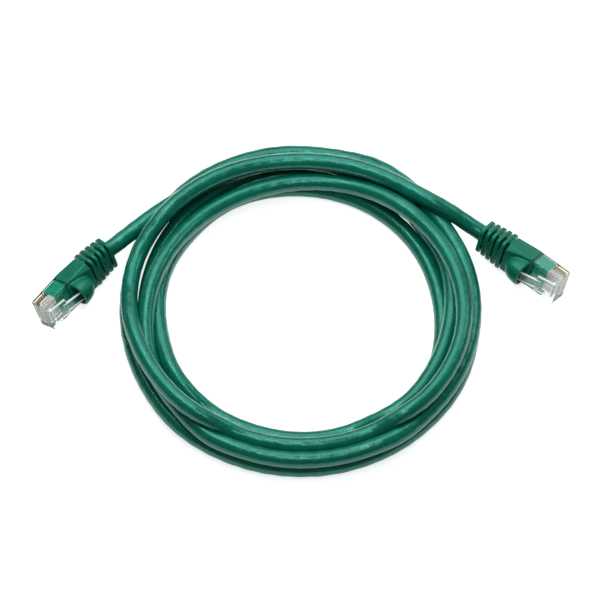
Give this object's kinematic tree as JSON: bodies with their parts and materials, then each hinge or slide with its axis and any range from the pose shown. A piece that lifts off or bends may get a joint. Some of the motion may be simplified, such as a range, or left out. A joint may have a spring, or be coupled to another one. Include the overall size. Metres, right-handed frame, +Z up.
{
  "type": "ethernet patch cable",
  "caption": "Coiled round network patch cable with a clear modular plug, sprung latch and snagless ribbed strain relief boot on each end.",
  "frame": {"origin": "on the surface the cable lies on, midway between the two plugs", "axes": "+X from plug a on the left to plug b on the right, +Y from the viewer towards the back of the coil, +Z up"},
  "size_m": [0.1901, 0.136, 0.018],
  "materials": {
    "clear_plastic": "clear moulded polycarbonate, polished",
    "contact_gold": "gold-plated phosphor bronze",
    "jacket_green": "glossy extruded PVC",
    "boot_green": "satin moulded soft PVC",
    "insert_green": "moulded soft PVC seen through the clear housing",
    "separator_white": "natural polyethylene",
    "white_orange_wire": "polyethylene insulation",
    "orange_wire": "polyethylene insulation",
    "white_green_wire": "polyethylene insulation",
    "blue_wire": "polyethylene insulation",
    "white_blue_wire": "polyethylene insulation",
    "green_wire": "polyethylene insulation",
    "white_brown_wire": "polyethylene insulation",
    "brown_wire": "polyethylene insulation"
  },
  "bodies": {
    "root": {"plug_housing_a": "clear_plastic", "load_bar_a": "clear_plastic", "boot_insert_a": "insert_green", "strain_relief_boot_a": "boot_green", "jacket_end_a": "jacket_green", "pair_separator_a": "separator_white", "contact_1_a": "contact_gold", "contact_2_a": "contact_gold", "contact_3_a": "contact_gold", "contact_4_a": "contact_gold", "contact_5_a": "contact_gold", "contact_6_a": "contact_gold", "contact_7_a": "contact_gold", "contact_8_a": "contact_gold", "wire_1_white_orange_a": "white_orange_wire", "wire_2_orange_a": "orange_wire", "wire_3_white_green_a": "white_green_wire", "wire_4_blue_a": "blue_wire", "wire_5_white_blue_a": "white_blue_wire", "wire_6_green_a": "green_wire", "wire_7_white_brown_a": "white_brown_wire", "wire_8_brown_a": "brown_wire", "plug_housing_b": "clear_plastic", "load_bar_b": "clear_plastic", "boot_insert_b": "insert_green", "strain_relief_boot_b": "boot_green", "jacket_end_b": "jacket_green", "pair_separator_b": "separator_white", "contact_1_b": "contact_gold", "contact_2_b": "contact_gold", "contact_3_b": "contact_gold", "contact_4_b": "contact_gold", "contact_5_b": "contact_gold", "contact_6_b": "contact_gold", "contact_7_b": "contact_gold", "contact_8_b": "contact_gold", "wire_1_white_orange_b": "white_orange_wire", "wire_2_orange_b": "orange_wire", "wire_3_white_green_b": "white_green_wire", "wire_4_blue_b": "blue_wire", "wire_5_white_blue_b": "white_blue_wire", "wire_6_green_b": "green_wire", "wire_7_white_brown_b": "white_brown_wire", "wire_8_brown_b": "brown_wire", "cable_coil": "jacket_green", "cable_lead_a": "jacket_green", "cable_lead_b": "jacket_green"},
    "latch_a": {"latch_lever_a": "clear_plastic"},
    "hood_a": {"boot_hood_a": "boot_green"},
    "latch_b": {"latch_lever_b": "clear_plastic"},
    "hood_b": {"boot_hood_b": "boot_green"}
  },
  "joints": [
    {"name": "latch_press_a", "type": "hinge", "parent": "root", "child": "latch_a", "pos_m": [-0.08772, -0.01784, 0.0081], "axis": [-0.3183, 0.2532, 0.9135], "range_deg": [0, 9], "stiffness_Nm_per_rad": 0.02},
    {"name": "hood_press_a", "type": "slide", "parent": "root", "child": "hood_a", "axis": [-0.7149, 0.5687, -0.4067], "range_m": [0, 0.002]},
    {"name": "latch_press_b", "type": "hinge", "parent": "root", "child": "latch_b", "pos_m": [0.08866, -0.00714, 0.00799], "axis": [-0.2383, -0.2891, -0.9272], "range_deg": [0, 9], "stiffness_Nm_per_rad": 0.02},
    {"name": "hood_press_b", "type": "slide", "parent": "root", "child": "hood_b", "axis": [0.5898, 0.7154, -0.3746], "range_m": [0, 0.002]}
  ],
  "couplings": [
    {"joint": "hood_press_a", "follows": "latch_press_a", "m_per_rad": 0.012669},
    {"joint": "hood_press_b", "follows": "latch_press_b", "m_per_rad": 0.012669}
  ]
}
